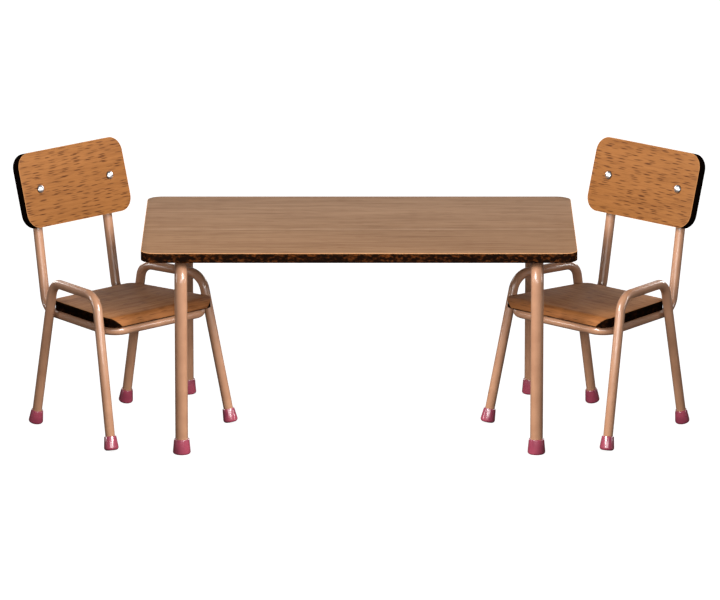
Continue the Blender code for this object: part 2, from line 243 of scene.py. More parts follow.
top_low, top_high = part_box("table_top")
cross_bar_height = top_low.z - FIT - TABLE_ROD / 2
for side, leg_x in (("left", top_low.x + LEG_FROM_END), ("right", top_high.x - LEG_FROM_END)):
    leg_y = top_high.y - LEG_FROM_SIDE
    foot_floor = TABLE_FOOT_FLOOR + FIT
    bends = [
        ((leg_x, -leg_y, foot_floor), 0),
        ((leg_x, -leg_y, cross_bar_height), TABLE_BEND),
        ((leg_x, leg_y, cross_bar_height), TABLE_BEND),
        ((leg_x, leg_y, foot_floor), 0),
    ]
    rod = bent_rod(bends, TABLE_ROD)
    finish_piece(rod, f"table_frame_{side}", "table", [COPPER_PAINT])


# ---- Table fixing tabs
# Four small plates, cut from 0.8 mm sheet steel and welded on the inner shoulders of the cross bars before
# painting. A wood screw goes up through each.


def spray(cad_node):
    """Paint a piece that shows as it comes."""
    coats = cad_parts[cad_node].data.materials
    coats.clear()
    coats.append(COPPER_PAINT)


for side in ("left", "right"):
    for end in ("front", "rear"):
        spray(f"table_tab_{side}_{end}")


# ---- Table top
# A 3.8 mm beech-faced plywood board, 170 by 102 mm, cut out by laser, which chars the cut edges and leaves a
# thin pale line of face veneer above the char. Two leaves of veneer meet in a seam along the board.

ARRIS = 0.00014  # the broken edge between a face and a cut edge
CORNER_STEPS = 14
TABLE_CORNER = 0.006
FACE, CUT_EDGE = 0, 1
TURNED_UP = 0.7  # the normal of a board's face leans no further from Z than this
GRAIN_DEPTH, CHAR_DEPTH = 0.00002, 0.00003
UP = Vector((0, 0, 1))


def scaled(tree, place, scale):
    return node(tree, "Mapping", {"Vector": place, "Scale": scale}).outputs[0]


def beech_group():
    """Beech veneer with its grain along X: broad bands, fine grain lines, and short dark ray flecks."""
    tree, given, out = new_group(
        "beech_veneer",
        [("Place", "Vector", None), ("Pale", "Color", (0.5, 0.25, 0.1, 1)),
         ("Deep", "Color", (0.35, 0.15, 0.05, 1)), ("Fleck", "Color", (0.2, 0.07, 0.02, 1)),
         ("Flecks", "Float", 0.5), ("Lines", "Float", 0.5)],
        [("Colour", "Color", None), ("Roughness", "Float", None), ("Height", "Float", None)],
    )
    place = given["Place"]
    bands = node(tree, "TexNoise", {
        "Vector": scaled(tree, place, (9, 95, 95)), "Scale": 1.0, "Detail": 3.0, "Distortion": 0.4,
    }).outputs[0]
    grain = node(tree, "TexNoise", {
        "Vector": scaled(tree, place, (42, 820, 820)), "Scale": 1.0, "Detail": 4.0, "Roughness": 0.6,
    }).outputs[0]
    pores = node(tree, "TexNoise", {
        "Vector": scaled(tree, place, (170, 3400, 3400)), "Scale": 1.0, "Detail": 2.0,
    }).outputs[0]
    colour = blend_colour(tree, soft_step(tree, bands, 0.3, 0.7), given["Pale"], given["Deep"])
    line_share = maths(tree, "MULTIPLY", soft_step(tree, grain, 0.42, 0.72), given["Lines"])
    colour = blend_colour(tree, line_share, colour, given["Deep"], "MULTIPLY")
    pore_share = maths(tree, "MULTIPLY", soft_step(tree, pores, 0.46, 0.75), 0.32)
    colour = blend_colour(tree, pore_share, colour, given["Fleck"])

    along, across, up = node(tree, "SeparateXYZ", {0: place}).outputs
    over_edge = node(tree, "CombineXYZ", {0: along, 1: maths(tree, "ADD", across, up)}).outputs[0]
    cells = node(
        tree, "TexVoronoi", {"Vector": scaled(tree, over_edge, (140, 1400, 1)), "Scale": 1.0},
        voronoi_dimensions="2D",
    )
    shape = maths(tree, "SUBTRACT", 1.0, soft_step(tree, cells.outputs["Distance"], 0.14, 0.36))
    chance = node(tree, "SeparateColor", {0: cells.outputs["Color"]}).outputs[0]
    kept = maths(tree, "LESS_THAN", chance, given["Flecks"])
    fleck = maths(tree, "MULTIPLY", shape, kept)
    faintness = maths(tree, "DIVIDE", maths(tree, "MULTIPLY", chance, 0.6), given["Flecks"])
    strength = maths(tree, "SUBTRACT", 1.0, faintness)
    colour = blend_colour(tree, maths(tree, "MULTIPLY", fleck, strength), colour, given["Fleck"])
    tree.links.new(colour, out["Colour"])
    tree.links.new(maths(tree, "MULTIPLY_ADD", grain, 0.22, 0.5), out["Roughness"])
    raised = maths(tree, "MULTIPLY_ADD", fleck, -0.5, grain)
    tree.links.new(maths(tree, "MULTIPLY_ADD", pores, -0.3, raised), out["Height"])
    return tree


def scorched_edge_group():
    """A laser-cut plywood edge: charred plies, brown where the cut ran cool, and a pale line of veneer."""
    tree, given, out = new_group(
        "scorched_edge",
        [("Place", "Vector", None), ("Half Thickness", "Float", 0.0019), ("Brown", "Float", 0.0),
         ("Veneer", "Color", (0.45, 0.2, 0.08, 1))],
        [("Colour", "Color", None), ("Roughness", "Float", None), ("Height", "Float", None)],
    )
    place = given["Place"]
    through = node(tree, "SeparateXYZ", {0: place}).outputs[2]
    blotches = node(tree, "TexNoise", {
        "Vector": scaled(tree, place, (560, 560, 1000)), "Scale": 1.0, "Detail": 4.0, "Roughness": 0.65,
    }).outputs[0]
    striations = node(tree, "TexNoise", {
        "Vector": scaled(tree, place, (3200, 3200, 260)), "Scale": 1.0, "Detail": 2.0,
    }).outputs[0]
    plies = node(tree, "TexNoise", {
        "Vector": scaled(tree, place, (30, 30, 1500)), "Scale": 1.0, "Detail": 1.0,
    }).outputs[0]
    brown = maths(tree, "MULTIPLY", soft_step(tree, blotches, 0.46, 0.72), given["Brown"])
    brown = maths(tree, "MULTIPLY", brown, maths(tree, "MULTIPLY_ADD", plies, 1.2, 0.4))
    colour = blend_colour(tree, brown, (0.0035, 0.0016, 0.001, 1), (0.06, 0.0165, 0.0035, 1))
    to_face = maths(tree, "SUBTRACT", given["Half Thickness"], through)
    line = maths(tree, "SUBTRACT", 1.0, soft_step(tree, to_face, 0.00004, 0.00017))
    colour = blend_colour(tree, line, colour, given["Veneer"])
    tree.links.new(colour, out["Colour"])
    tree.links.new(maths(tree, "MULTIPLY_ADD", blotches, 0.3, 0.6), out["Roughness"])
    tree.links.new(maths(tree, "ADD", striations, blotches), out["Height"])
    return tree


BEECH, SCORCHED_EDGE = beech_group(), scorched_edge_group()


def own_place(tree):
    return node(tree, "Attribute", attribute_name="own_place").outputs["Vector"]


def beech_face(name, pale, deep, fleck, flecks, lines, **settings):
    made, tree, shader = new_finish(name, **settings)
    veneer = use_group(tree, BEECH, {
        "Place": own_place(tree), "Pale": pale, "Deep": deep, "Fleck": fleck,
        "Flecks": flecks, "Lines": lines,
    })
    wire_finish(
        tree, shader, veneer["Height"], GRAIN_DEPTH,
        Base_Color=veneer["Colour"], Roughness=veneer["Roughness"],
    )
    return made, tree, shader, veneer


def scorched_edge(name, half_thickness, brown, veneer_line):
    made, tree, shader = new_finish(name, Specular_IOR_Level=0.0)
    char = use_group(tree, SCORCHED_EDGE, {
        "Place": own_place(tree), "Half Thickness": half_thickness, "Brown": brown, "Veneer": veneer_line,
    })
    wire_finish(
        tree, shader, char["Height"], CHAR_DEPTH, Base_Color=char["Colour"], Roughness=char["Roughness"]
    )
    return made


def break_arrises(work, **settings):
    """Break the sharp edge wherever a face meets a cut edge."""
    rims = [edge for edge in work.edges if len({face.material_index for face in edge.link_faces}) == 2]
    bmesh.ops.bevel(
        work, geom=rims, offset=ARRIS, segments=2, profile=0.5, affect="EDGES", material=CUT_EDGE, **settings
    )


def rounded_board(width, height, thickness, corner):
    """A flat board on its own XY plane, with rounded corners."""
    work = bmesh.new()
    bmesh.ops.create_cube(work, size=1, matrix=Matrix.Diagonal((width, height, thickness, 1)))
    uprights = [edge for edge in work.edges if abs(edge.verts[0].co.z - edge.verts[1].co.z) > thickness / 2]
    bmesh.ops.bevel(
        work, geom=uprights, offset=corner, segments=CORNER_STEPS, profile=0.5, affect="EDGES", material=-1
    )
    bmesh.ops.recalc_face_normals(work, faces=work.faces)
    for face in work.faces:
        face.material_index = FACE if abs(face.normal.z) > TURNED_UP else CUT_EDGE
    break_arrises(work)
    return work


table_size = top_high - top_low
TABLE_BEECH, tree, shader, veneer = beech_face(
    "table_beech", pale=(0.244, 0.142, 0.08, 1), deep=(0.21, 0.118, 0.065, 1), fleck=(0.14, 0.063, 0.028, 1),
    flecks=0.1, lines=0.35, Specular_IOR_Level=0.1,
)
SEAM_Y, SEAM_WAVER, SEAM_WIDTH = -0.0085, 0.0004, 0.0006
WAVES_PER_METRE = 50
SEAM_CORE, SEAM_HALO = 0.3 * SEAM_WIDTH, 1.4 * SEAM_WIDTH
SEAM_TONE = (0.34, 0.22, 0.14, 1)
FRONT_PAINTED_SHADE = (0.77, 0.74, 0.7, 1)  # painted shade: the top is painted darker towards the front, evening out the stronger light on its front
SHADE_FADE_FRONT, SHADE_FADE_REAR = SEAM_Y - 0.006, 0.034
across = node(tree, "SeparateXYZ", {0: own_place(tree)}).outputs[1]
along_only = scaled(tree, own_place(tree), (WAVES_PER_METRE, 0, 0))
waver = node(tree, "TexNoise", {"Vector": along_only, "Scale": 1.0}).outputs[0]
seam_line = maths(tree, "MULTIPLY_ADD", waver, SEAM_WAVER, SEAM_Y)
off_seam = maths(tree, "ABSOLUTE", maths(tree, "SUBTRACT", across, seam_line))
seam = maths(tree, "SUBTRACT", 1.0, soft_step(tree, off_seam, SEAM_CORE, SEAM_HALO))
seam = maths(tree, "MULTIPLY", seam, maths(tree, "MULTIPLY", soft_step(tree, waver, 0.2, 0.7), 0.8))
# Painted shade: from the rear towards the front edge the veneer's colour is painted darker, against the light
# that falls stronger on the front.
front_shade_share = maths(tree, "SUBTRACT", 1.0, soft_step(tree, across, SHADE_FADE_FRONT, SHADE_FADE_REAR))
front_shaded = blend_colour(tree, front_shade_share, veneer["Colour"], FRONT_PAINTED_SHADE, "MULTIPLY")
with_seam = blend_colour(tree, seam, front_shaded, SEAM_TONE)
tree.links.new(with_seam, shader.inputs["Base Color"])
TABLE_EDGE = scorched_edge(
    "table_scorched_edge", table_size.z / 2, brown=0.85, veneer_line=(0.5, 0.24, 0.1, 1)
)
top_place = Matrix.Translation((top_low + top_high) / 2)
finish_piece(
    rounded_board(*table_size, TABLE_CORNER), "table_top", "table", [TABLE_BEECH, TABLE_EDGE],
    top_place, flat_along=UP,
)


# ---- Table screws
# Four zinc-plated steel wood screws with domed heads. They are driven up through the tabs into pilot holes in
# the board, and hold it down on the two end frames.

TURNED_STEPS = 48
DOME_STEPS = 10
WOOD_SCREW = {"shank": 0.0014, "head": 0.0028, "rise": 0.0009, "brim": 0.00015}
SCREW_BITE = 0.0026  # how far a screw goes into the wood
SHANK_CHAMFER = 0.3  # on a screw's end, as a share of the shank's radius
TAB_THICK = 0.0008
ZINC = sprayed_finish(
    "bright_zinc", colour=(0.62, 0.62, 0.64, 1), thin_colour=(0.5, 0.5, 0.53, 1), roughness=0.34,
    peel_size=0.0004, peel_depth=0.000004, Metallic=1.0,
)


def turned_piece(profile):
    """A piece turned about Z from a profile of (radius, height) that starts and ends on the axis."""
    work = bmesh.new()
    verts = [work.verts.new((radius, 0, height)) for radius, height in profile]
    edges = [work.edges.new(pair) for pair in zip(verts, verts[1:])]
    bmesh.ops.spin(
        work, geom=verts + edges, cent=(0, 0, 0), axis=UP, angle=2 * pi, steps=TURNED_STEPS, use_merge=True
    )
    bmesh.ops.remove_doubles(work, verts=work.verts, dist=MERGE_WITHIN)
    return work


def fillet(radius, height, size, start, end, steps=5):
    """Points of a quarter round in a profile, about a centre, between two angles in degrees."""
    angles = [radians(start + (end - start) * i / steps) for i in range(steps + 1)]
    return [(radius + size * cos(angle), height + size * sin(angle)) for angle in angles]


def domed_screw(size, length):
    """A domed head with a short upright brim, seated on Z = 0, and a plain shank below it."""
    head, rise = size["head"] / 2, size["rise"] - size["brim"]
    sphere = (head**2 + rise**2) / (2 * rise)
    reach = asin(head / sphere)
    angles = [reach * i / DOME_STEPS for i in range(DOME_STEPS + 1)]
    dome = [(sphere * sin(a), size["rise"] - sphere + sphere * cos(a)) for a in angles]
    shank = size["shank"] / 2
    chamfer = shank * SHANK_CHAMFER
    end = [(shank, -length + chamfer), (shank - chamfer, -length), (0, -length)]
    return turned_piece([*dome, (head, 0), (shank, 0), *end])


def drive_wood_screw(cad_node, body):
    """A wood screw with its head down, seated on the underside of its tab."""
    low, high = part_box(cad_node)
    seat = Vector(((low.x + high.x) / 2, (low.y + high.y) / 2, low.z + WOOD_SCREW["rise"]))
    head_down = Matrix.Translation(seat) @ Matrix.Rotation(pi, 4, "X")
    screw = domed_screw(WOOD_SCREW, 2 * FIT + TAB_THICK + SCREW_BITE)
    finish_piece(screw, cad_node, body, [ZINC], head_down)


for side in ("left", "right"):
    for end in ("front", "rear"):
        drive_wood_screw(f"table_screw_{side}_{end}", "table")


# ---- Table feet
# Four cups moulded in raspberry red vinyl, a little wider at the floor. Each is pushed on the end of a leg
# and holds by its stretch.

TABLE_FOOT = {"top": 0.0061, "bottom": 0.0070, "height": 0.0061, "floor": 0.0015, "edge": 0.0009}
FOOT_LIP = 0.00022
RASPBERRY_VINYL = sprayed_finish(
    "raspberry_vinyl_skin", colour=(0.275, 0.045, 0.073, 1), thin_colour=(0.19, 0.027, 0.05, 1),
    roughness=0.28, peel_size=0.0007, peel_depth=0.00001, Coat_Weight=1.0, Coat_Roughness=0.12, Coat_IOR=1.6,
)


def push_on_foot(size, rod_diameter):
    """A cup standing on Z = 0: bore, rounded lip, sloping wall and rounded sole."""
    bore, top = rod_diameter / 2 + FIT / 2, size["top"] / 2
    edge, height, lip = size["edge"], size["height"], FOOT_LIP
    profile = [(0, size["floor"]), (bore, size["floor"]), (bore, height - lip / 2)]
    profile += fillet(bore + lip / 2, height - lip / 2, lip / 2, 180, 90, steps=2)
    profile += fillet(top - lip, height - lip, lip, 90, 0)
    profile += fillet(size["bottom"] / 2 - edge, edge, edge, 0, -90, steps=7)
    return turned_piece([*profile, (0, 0)])


for side in ("left", "right"):
    for end in ("front", "rear"):
        low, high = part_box(f"table_foot_{side}_{end}")
        standing = Matrix.Translation(((low.x + high.x) / 2, (low.y + high.y) / 2, low.z))
        finish_piece(
            push_on_foot(TABLE_FOOT, TABLE_ROD), f"table_foot_{side}_{end}", "table",
            [RASPBERRY_VINYL], standing,
        )


# ---- Chair side loops
# Each side of a chair is one 3.8 mm rod: rear leg, armrest and front leg, bent in one plane that leans in
# towards the top. The two chairs are alike, and each is turned and drawn up to its own end of the table.

CHAIR_ROD = 0.0038
CHAIR_FOOT = {"top": 0.0048, "bottom": 0.0058, "height": 0.0056, "floor": 0.0013, "edge": 0.0011}
FRONT_LEG = ((0.0321, -0.0269), (0.0282, -0.0144))  # plan of the leg's foot, and of its corner under the arm
REAR_LEG = ((0.0242, 0.0269), (0.0238, 0.0157))
ARM_HEIGHT = 0.0594
ARM_BEND_FRONT, ARM_BEND_REAR = 0.0075, 0.006
CHAIR_PAST_TABLE, CHAIR_Y, CHAIR_TURN = 0.0077, -0.003, radians(44.2)
chair_x = table_size.x / 2 + CHAIR_PAST_TABLE
CHAIRS = {
    "left_chair": Matrix.Translation((-chair_x, CHAIR_Y, 0)) @ Matrix.Rotation(CHAIR_TURN, 4, "Z"),
    "right_chair": Matrix.Translation((chair_x, CHAIR_Y, 0)) @ Matrix.Rotation(-CHAIR_TURN, 4, "Z"),
}
HANDS = (("left", -1), ("right", 1))


def leg_line(sign, leg):
    """The leg's arm corner, its upward direction, and the middle of its foot's sole.

    The sole is lifted so that, tilted with the leg, it just touches the floor.
    """
    (foot_x, foot_y), (corner_x, corner_y) = leg
    on_floor, corner = Vector((sign * foot_x, foot_y, 0)), Vector((sign * corner_x, corner_y, ARM_HEIGHT))
    up = (corner - on_floor).normalized()
    splay, edge = up.angle(UP), CHAIR_FOOT["edge"]
    lift = (CHAIR_FOOT["bottom"] / 2 - edge) * sin(splay) + edge * (1 - cos(splay))
    return corner, up, on_floor + up * (lift / up.z)


for chair, chair_place in CHAIRS.items():
    for side, sign in HANDS:
        front_corner, front_up, front_sole = leg_line(sign, FRONT_LEG)
        rear_corner, rear_up, rear_sole = leg_line(sign, REAR_LEG)
        rod_end = CHAIR_FOOT["floor"] + FIT
        bends = [
            (rear_sole + rear_up * rod_end, 0), (rear_corner, ARM_BEND_REAR),
            (front_corner, ARM_BEND_FRONT), (front_sole + front_up * rod_end, 0),
        ]
        finish_piece(
            bent_rod(bends, CHAIR_ROD), f"{chair}_side_loop_{side}", chair, [COPPER_PAINT],
            chair_place,
        )


# ---- Chair feet
# Smaller cups of the same vinyl, four on each chair. They are pushed on the ends of the splayed legs and tilt
# with them, so that each stands on the rounded rim of its sole.

for chair, chair_place in CHAIRS.items():
    for side, sign in HANDS:
        for end, leg in (("front", FRONT_LEG), ("rear", REAR_LEG)):
            _, up, sole = leg_line(sign, leg)
            standing = Matrix.Translation(sole) @ up.to_track_quat("Z", "Y").to_matrix().to_4x4()
            finish_piece(
                push_on_foot(CHAIR_FOOT, CHAIR_ROD), f"{chair}_foot_{side}_{end}", chair,
                [RASPBERRY_VINYL], chair_place @ standing,
            )


# ---- Chair seat frames
# One more 3.8 mm rod a chair: down one post, forward under the seat, across the front, and back to the other
# post. The side loops are welded to its side rails, and the back board is screwed to its leaning posts.

SEAT_TOP, SEAT_BOARD = 0.0516, 0.0038
FRONT_RAIL_Y, FRONT_RAIL_BEND = -0.0207, 0.006
POST_Y, POST_BEND, POST_LEAN, POST_INWARD = 0.0255, 0.0065, radians(9), 0.009
BACK_LEAN, BACK_BEND, BACK_BEND_HEIGHT = radians(15.5), 0.030, 0.080
BACK_MIDDLE_HEIGHT, BACK_HEIGHT = 0.0927, 0.030
POST_TOP_MARGIN = 0.003  # the posts end this far under the top of the back board
BACK_SCREW = {"shank": 0.0020, "head": 0.0033, "rise": 0.0011, "brim": 0.0002}
RAIL_HEIGHT = SEAT_TOP - SEAT_BOARD - FIT - CHAIR_ROD / 2
WELD_STEP = CHAIR_ROD + 1.5 * FIT  # between the axes of two rods welded side by side


def leg_at(leg, height):
    """The plan position of a leg's axis at a height, on the +X side."""
    foot, corner = Vector(leg[0]), Vector(leg[1])
    return foot.lerp(corner, height / ARM_HEIGHT)


front_leg, rear_leg = leg_at(FRONT_LEG, RAIL_HEIGHT), leg_at(REAR_LEG, RAIL_HEIGHT)
rail_slope = (rear_leg.x - front_leg.x) / (rear_leg.y - front_leg.y)


def rail_x(y):
    """Where the side rail on the +X side runs, beside the two legs."""
    return front_leg.x - WELD_STEP + rail_slope * (y - front_leg.y)


def post_point(height):
    """The axis of the post on the +X side: it draws in a little, and leans back more above its bend."""
    bend_y = POST_Y + (BACK_BEND_HEIGHT - RAIL_HEIGHT) * tan(POST_LEAN)
    lean = POST_LEAN if height < BACK_BEND_HEIGHT else BACK_LEAN
    x = rail_x(POST_Y) - POST_INWARD * (height - RAIL_HEIGHT)
    return Vector((x, bend_y + (height - BACK_BEND_HEIGHT) * tan(lean), height))


def drilled(work, holes, radius, depth):
    """Cut straight round holes, each along the Z of its place, through a closed shape."""
    shape, bits = bpy.data.meshes.new("shape"), bpy.data.meshes.new("bits")
    work.to_mesh(shape)
    work.free()
    cutter = bmesh.new()
    for place in holes:
        bmesh.ops.create_cone(
            cutter, cap_ends=True, segments=ROD_SIDES, radius1=radius, radius2=radius, depth=depth,
            matrix=place,
        )
    cutter.to_mesh(bits)
    cutter.free()
    target, bit = bpy.data.objects.new("target", shape), bpy.data.objects.new("bit", bits)
    for obj in (target, bit):
        bpy.context.scene.collection.objects.link(obj)
    cut = target.modifiers.new("drill", "BOOLEAN")
    cut.object, cut.operation, cut.solver = bit, "DIFFERENCE", "EXACT"
    left = bpy.data.meshes.new_from_object(target.evaluated_get(bpy.context.evaluated_depsgraph_get()))
    result = bmesh.new()
    result.from_mesh(left)
    for obj in (target, bit):
        bpy.data.objects.remove(obj)
    for mesh in (shape, bits, left):
        bpy.data.meshes.remove(mesh)
    return result


back_middle = post_point(BACK_MIDDLE_HEIGHT)
back_tilt = Matrix.Rotation(pi / 2 - BACK_LEAN, 4, "X")
BACK_PLACE = Matrix.Translation((0, back_middle.y, back_middle.z)) @ back_tilt
BACK_HOLES = [Matrix.Translation((sign * back_middle.x, 0, 0)) for _, sign in HANDS]
top_height = BACK_MIDDLE_HEIGHT + (BACK_HEIGHT / 2 - POST_TOP_MARGIN) * cos(BACK_LEAN)
NEAR_HOLE = BACK_SCREW["head"] / 2  # rings in the rod on each side of a hole
for chair, chair_place in CHAIRS.items():
    half = [
        (post_point(top_height), 0),
        (post_point(BACK_MIDDLE_HEIGHT + NEAR_HOLE), 0),
        (post_point(BACK_MIDDLE_HEIGHT - NEAR_HOLE), 0),
        (post_point(BACK_BEND_HEIGHT), BACK_BEND),
        (Vector((rail_x(POST_Y), POST_Y, RAIL_HEIGHT)), POST_BEND),
        (Vector((rail_x(FRONT_RAIL_Y), FRONT_RAIL_Y, RAIL_HEIGHT)), FRONT_RAIL_BEND),
    ]
    far_half = [(Vector((-point.x, point.y, point.z)), radius) for point, radius in half]
    rod = bent_rod(far_half + half[::-1], CHAIR_ROD)
    holes = [BACK_PLACE @ hole for hole in BACK_HOLES]
    rod = drilled(rod, holes, BACK_SCREW["shank"] / 2 + FIT, 2 * CHAIR_ROD)
    finish_piece(rod, f"{chair}_seat_frame", chair, [COPPER_PAINT], chair_place)


# ---- Seat tabs
# Two sheet steel plates like the table's on each chair, welded inside the side rails and painted with them.
# A wood screw goes up through each into the seat.

for chair in CHAIRS:
    for side in ("left", "right"):
        spray(f"{chair}_seat_tab_{side}")


# ---- Seats
# Moulded beech plywood, grain from side to side, with the front edge rolled over and down in front of the
# front rail. The sides and rear are laser-cut and charred black.

SEAT_FRONT_Y, SEAT_REAR_Y, SEAT_TAPER, SEAT_ROLL = -0.0234, 0.0193, 0.1446, 0.0035
SEAT_CORNER = 0.0045
SEAT_BETWEEN_LEGS = 0.0002
ROLL_STEPS = 16
ROLL_SLACK = 0.02  # a face on the roll turns up more than this, and sideways less
ON_PLANE_WITHIN = 1e-7
SEAT_CUT_APART = 0.31  # each seat comes from its own part of the veneer
SEAT_BEECH, tree, shader, veneer = beech_face(
    "seat_beech", pale=(0.37, 0.163, 0.058, 1), deep=(0.28, 0.113, 0.036, 1), fleck=(0.1, 0.034, 0.01, 1),
    flecks=0.3, lines=0.4, Specular_IOR_Level=0.15,
)
ROLL_TONE = (0.8, 0.7, 0.6, 1)  # steaming and bending turns the veneer on the roll a deeper orange
ROLL_FADE_FRONT = SEAT_FRONT_Y + SEAT_ROLL - 0.0015
ROLL_FADE_REAR = SEAT_FRONT_Y + SEAT_ROLL + 0.001
across = node(tree, "SeparateXYZ", {0: own_place(tree)}).outputs[1]
on_roll = maths(tree, "SUBTRACT", 1.0, soft_step(tree, across, ROLL_FADE_FRONT, ROLL_FADE_REAR))
rolled_tone = blend_colour(tree, on_roll, veneer["Colour"], ROLL_TONE, "MULTIPLY")
tree.links.new(rolled_tone, shader.inputs["Base Color"])
SEAT_EDGE = scorched_edge("seat_scorched_edge", SEAT_BOARD / 2, brown=0.3, veneer_line=(0.4, 0.18, 0.07, 1))


def trim(work, point, outward):
    """Saw off what lies beyond a plane, and close the cut."""
    cut = bmesh.ops.bisect_plane(
        work, geom=work.verts[:] + work.edges[:] + work.faces[:], plane_co=point, plane_no=outward,
        clear_outer=True, dist=ON_PLANE_WITHIN,
    )["geom_cut"]
    edges = only(bmesh.types.BMEdge, cut)
    if edges:
        bmesh.ops.edgeloop_fill(work, edges=edges)


def trim_corner(work, corner, into, away):
    """Round an upright corner with planes that touch its arc; into and away run along its two sides."""
    half = into.angle(away) / 2
    centre = corner + (into + away).normalized() * (SEAT_CORNER / sin(half))
    first = (-away - into * (-away).dot(into)).normalized()
    turn = pi - 2 * half
    axis = first.cross(into * -1)
    for i in range(1, CORNER_STEPS):
        outward = Matrix.Rotation(turn * i / CORNER_STEPS, 3, axis) @ first
        trim(work, centre + outward * SEAT_CORNER, outward)


def seat_board():
    """The moulded seat about its own middle height: front edge rolled, sides tapered, corners rounded."""
    leg = leg_at(FRONT_LEG, SEAT_TOP)

    def half_width(y):
        return leg.x - CHAIR_ROD / 2 - SEAT_BETWEEN_LEGS - SEAT_TAPER * (y - leg.y)

    front, rear = half_width(SEAT_FRONT_Y), half_width(SEAT_REAR_Y)
    corners = [
        Vector((-front, SEAT_FRONT_Y, 0)), Vector((front, SEAT_FRONT_Y, 0)),
        Vector((rear, SEAT_REAR_Y, 0)), Vector((-rear, SEAT_REAR_Y, 0)),
    ]
    work = bmesh.new()
    depth = SEAT_REAR_Y - SEAT_FRONT_Y
    size = Matrix.Diagonal((2 * front, depth, SEAT_BOARD, 1))
    bmesh.ops.create_cube(work, size=1, matrix=Matrix.Translation((0, SEAT_FRONT_Y + depth / 2, 0)) @ size)
    rolled = [
        edge for edge in work.edges
        if all(vert.co.z > 0 and vert.co.y < SEAT_FRONT_Y + depth / 2 for vert in edge.verts)
    ]
    bmesh.ops.bevel(
        work, geom=rolled, offset=SEAT_ROLL, segments=ROLL_STEPS, profile=0.5, affect="EDGES", material=-1
    )
    for sign in (-1, 1):
        outward = Vector((sign, SEAT_TAPER, 0)).normalized()
        trim(work, Vector((sign * front, SEAT_FRONT_Y, 0)), outward)
    for i, corner in enumerate(corners):
        before, after = corners[i - 1], corners[(i + 1) % 4]
        trim_corner(work, corner, (before - corner).normalized(), (after - corner).normalized())
    bmesh.ops.recalc_face_normals(work, faces=work.faces)
    return work


def sort_seat_faces(work):
    """The rolled front is face veneer too; the sides, the rear and the low front lip are cut edges."""
    for face in work.faces:
        turned_up = abs(face.normal.z) > TURNED_UP
        on_roll = face.normal.z > ROLL_SLACK and abs(face.normal.x) < ROLL_SLACK
        face.material_index = FACE if turned_up or on_roll else CUT_EDGE
    break_arrises(work, clamp_overlap=True)


for i, (chair, chair_place) in enumerate(CHAIRS.items()):
    seat = seat_board()
    sort_seat_faces(seat)
    seat_place = chair_place @ Matrix.Translation((0, 0, SEAT_TOP - SEAT_BOARD / 2))
    finish_piece(
        seat, f"{chair}_seat", chair, [SEAT_BEECH, SEAT_EDGE], seat_place,
        shift=(SEAT_CUT_APART * i, 0, 0), flat_along=UP,
    )


# ---- Seat screws
# Two zinc-plated steel wood screws a chair, the same as the table's. They go up through the seat tabs into
# pilot holes in the seat.

for chair in CHAIRS:
    for side in ("left", "right"):
        drive_wood_screw(f"{chair}_seat_screw_{side}", chair)


# ---- Back boards
# Flat beech plywood, 55 by 30 mm and 3.7 mm thick, grain from side to side with bold ray flecks. It is
# laser-cut and charred like the rest, and drilled for a screw at each post.

BACK_WIDTH, BACK_BOARD, BACK_CORNER = 0.055, 0.0037, 0.006
BACK_CUT_FROM, BACK_CUT_APART, BACK_CUT_ACROSS = 0.17, 0.23, 0.05  # each back comes from its own veneer too
BACK_BEECH, *_ = beech_face(
    "back_beech", pale=(0.245, 0.096, 0.026, 1), deep=(0.22, 0.084, 0.021, 1), fleck=(0.05, 0.012, 0.002, 1),
    flecks=0.68, lines=0.2, Specular_IOR_Level=0.12,
)
BACK_EDGE = scorched_edge("back_scorched_edge", BACK_BOARD / 2, brown=0.0, veneer_line=(0.42, 0.19, 0.07, 1))
post_face = CHAIR_ROD / 2 + FIT
board_middle = Matrix.Translation((0, 0, post_face + BACK_BOARD / 2))
for i, (chair, chair_place) in enumerate(CHAIRS.items()):
    board = rounded_board(BACK_WIDTH, BACK_HEIGHT, BACK_BOARD, BACK_CORNER)
    board = drilled(board, BACK_HOLES, BACK_SCREW["shank"] / 2 + FIT, 2 * BACK_BOARD)
    finish_piece(
        board, f"{chair}_back", chair, [BACK_BEECH, BACK_EDGE],
        chair_place @ BACK_PLACE @ board_middle,
        shift=(BACK_CUT_FROM + BACK_CUT_APART * i, BACK_CUT_ACROSS * i, 0), flat_along=UP,
    )


# ---- Back screws and nuts
# Domed chrome-plated machine screws, 3.3 mm across the head, through the board and each post, with a small
# chrome-plated hexagon nut behind.

NUT_ACROSS_CORNERS, NUT_THICK, SCREW_END = 0.0042, 0.0016, 0.0004
NUT_EDGE = 0.00015
BRIM_LOW, BRIM_HIGH = 0.00018, 0.00042  # painted shade and painted dark reflection, in a band round the foot of a polished dome
BRIM_PAINTED_SHADE = (0.06, 0.065, 0.08, 1)
CHROME = sprayed_finish(
    "bright_chrome", colour=(0.82, 0.84, 0.87, 1), thin_colour=(0.74, 0.76, 0.8, 1), roughness=0.24,
    peel_size=0.0004, peel_depth=0.000001, Metallic=1.0,
)
DOME_CHROME, tree, shader = new_finish("dome_chrome", Metallic=1.0)
skin = use_group(tree, SPRAYED_COAT, {
    "Place": own_coordinates(tree), "Colour": (0.9, 0.93, 0.97, 1), "Thin Colour": (0.82, 0.85, 0.9, 1),
    "Roughness": 0.34, "Peel Size": 0.0004,
})
# Painted shade: near the foot of the dome its colour is painted dark, for the shade and the dark reflection
# where the dome meets the wood.
up_dome = node(tree, "SeparateXYZ", {0: own_place(tree)}).outputs[2]
clear_of_painted_shade = soft_step(tree, up_dome, BRIM_LOW, BRIM_HIGH)
shade = blend_colour(tree, clear_of_painted_shade, BRIM_PAINTED_SHADE, skin["Colour"])
wire_finish(tree, shader, skin["Height"], 0.000001, Base_Color=shade, Roughness=skin["Roughness"])
under_head = post_face + BACK_BOARD + FIT
screw_length = under_head + post_face + NUT_THICK + SCREW_END


